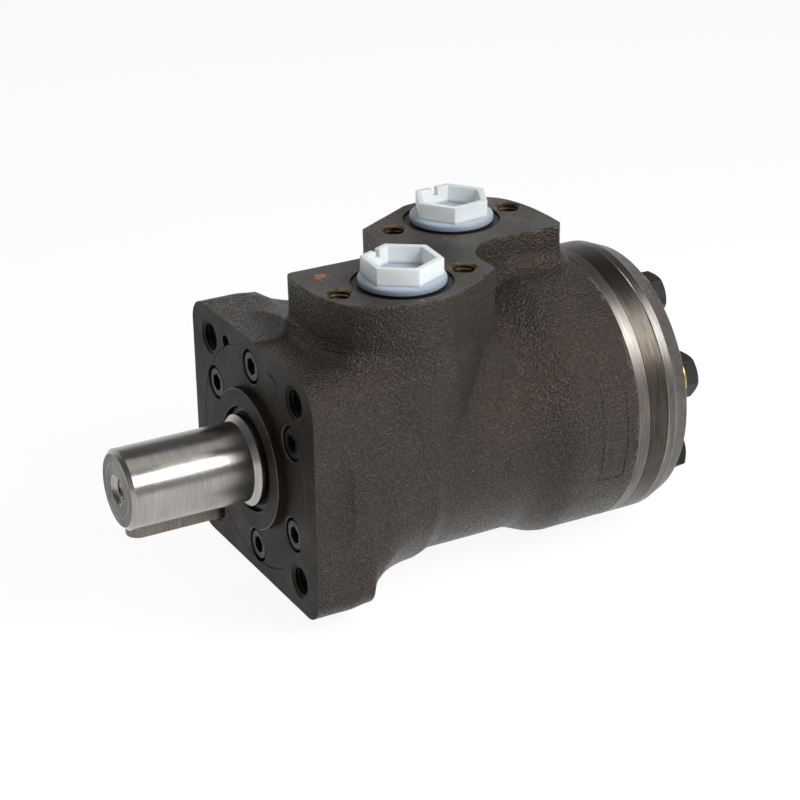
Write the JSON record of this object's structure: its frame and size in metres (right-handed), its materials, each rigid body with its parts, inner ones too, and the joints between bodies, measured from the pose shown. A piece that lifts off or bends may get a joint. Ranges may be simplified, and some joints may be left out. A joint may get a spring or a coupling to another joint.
{
  "type": "orbital hydraulic motor",
  "caption": "Orbital hydraulic motor with a square mounting flange, side ports closed by plastic plugs and a keyed shaft.",
  "frame": {"origin": "centre of the mounting flange's front face, on the shaft's axis", "axes": "-Y along the output shaft out of the flange, +Y towards the end cover, +Z through the port face, +X to the side of the front port"},
  "size_m": [0.0888, 0.1828, 0.108],
  "materials": {
    "cast_housing": "matte",
    "bright_steel": "satin",
    "dark_steel": "satin",
    "black_steel": "satin",
    "yellow_zinc": "satin",
    "seal_rubber": "matte",
    "clear_plastic": "gloss"
  },
  "bodies": {
    "motor_body": {"housing": "cast_housing", "front_cover": "cast_housing", "front_cover_screws": "black_steel", "front_cover_ring": "seal_rubber", "shaft_seal": "seal_rubber", "dust_seal": "seal_rubber", "thrust_washer_front": "bright_steel", "channel_plate": "bright_steel", "stator": "dark_steel", "end_cover": "dark_steel", "end_bolts": "black_steel", "end_bolt_washers": "yellow_zinc", "housing_ring": "seal_rubber", "stator_front_ring": "seal_rubber", "stator_rear_ring": "seal_rubber", "check_stop_screws": "dark_steel", "drain_plug": "dark_steel", "drain_washer": "yellow_zinc"},
    "shaft": {"output_shaft": "bright_steel", "shaft_key": "bright_steel", "thrust_washer_rear": "bright_steel"},
    "needle_set": {"thrust_needle_cage": "bright_steel", "thrust_needles": "bright_steel"},
    "orbit": {"cardan_stop_disc": "bright_steel"},
    "rotor": {"rotor": "dark_steel"},
    "cardan": {"cardan_shaft": "dark_steel"},
    "ball_a": {"check_ball_a": "bright_steel"},
    "ball_b": {"check_ball_b": "bright_steel"},
    "plug_a": {"port_plug_a": "clear_plastic"},
    "plug_b": {"port_plug_b": "clear_plastic"}
  },
  "joints": [
    {"name": "shaft_spin", "type": "hinge", "parent": "motor_body", "child": "shaft", "pos_m": [0, 0, 0], "axis": [0, 1, 0], "continuous": true},
    {"name": "needle_spin", "type": "hinge", "parent": "motor_body", "child": "needle_set", "pos_m": [0, 0.012, 0], "axis": [0, 1, 0], "continuous": true},
    {"name": "rotor_orbit", "type": "hinge", "parent": "motor_body", "child": "orbit", "pos_m": [0, 0.11875, 0], "axis": [0, 1, 0], "continuous": true},
    {"name": "rotor_spin", "type": "hinge", "parent": "orbit", "child": "rotor", "pos_m": [0, 0.11875, 0.0026], "axis": [0, 1, 0], "continuous": true},
    {"name": "cardan_spin", "type": "hinge", "parent": "orbit", "child": "cardan", "pos_m": [0, 0.038, 0], "axis": [0, 0.9995, 0.0322], "continuous": true},
    {"name": "check_lift_a", "type": "slide", "parent": "motor_body", "child": "ball_a", "axis": [0, 1, 0], "range_m": [0, 0.0012]},
    {"name": "check_lift_b", "type": "slide", "parent": "motor_body", "child": "ball_b", "axis": [0, 1, 0], "range_m": [0, 0.0012]},
    {"name": "plug_out_a", "type": "slide", "parent": "motor_body", "child": "plug_a", "axis": [0, 0, 1], "range_m": [0, 0.025]},
    {"name": "plug_out_b", "type": "slide", "parent": "motor_body", "child": "plug_b", "axis": [0, 0, 1], "range_m": [0, 0.025]}
  ],
  "couplings": [
    {"joint": "needle_spin", "follows": "shaft_spin", "ratio": 0.5},
    {"joint": "rotor_orbit", "follows": "shaft_spin", "ratio": -6},
    {"joint": "rotor_spin", "follows": "shaft_spin", "ratio": 7},
    {"joint": "cardan_spin", "follows": "shaft_spin", "ratio": 7}
  ]
}
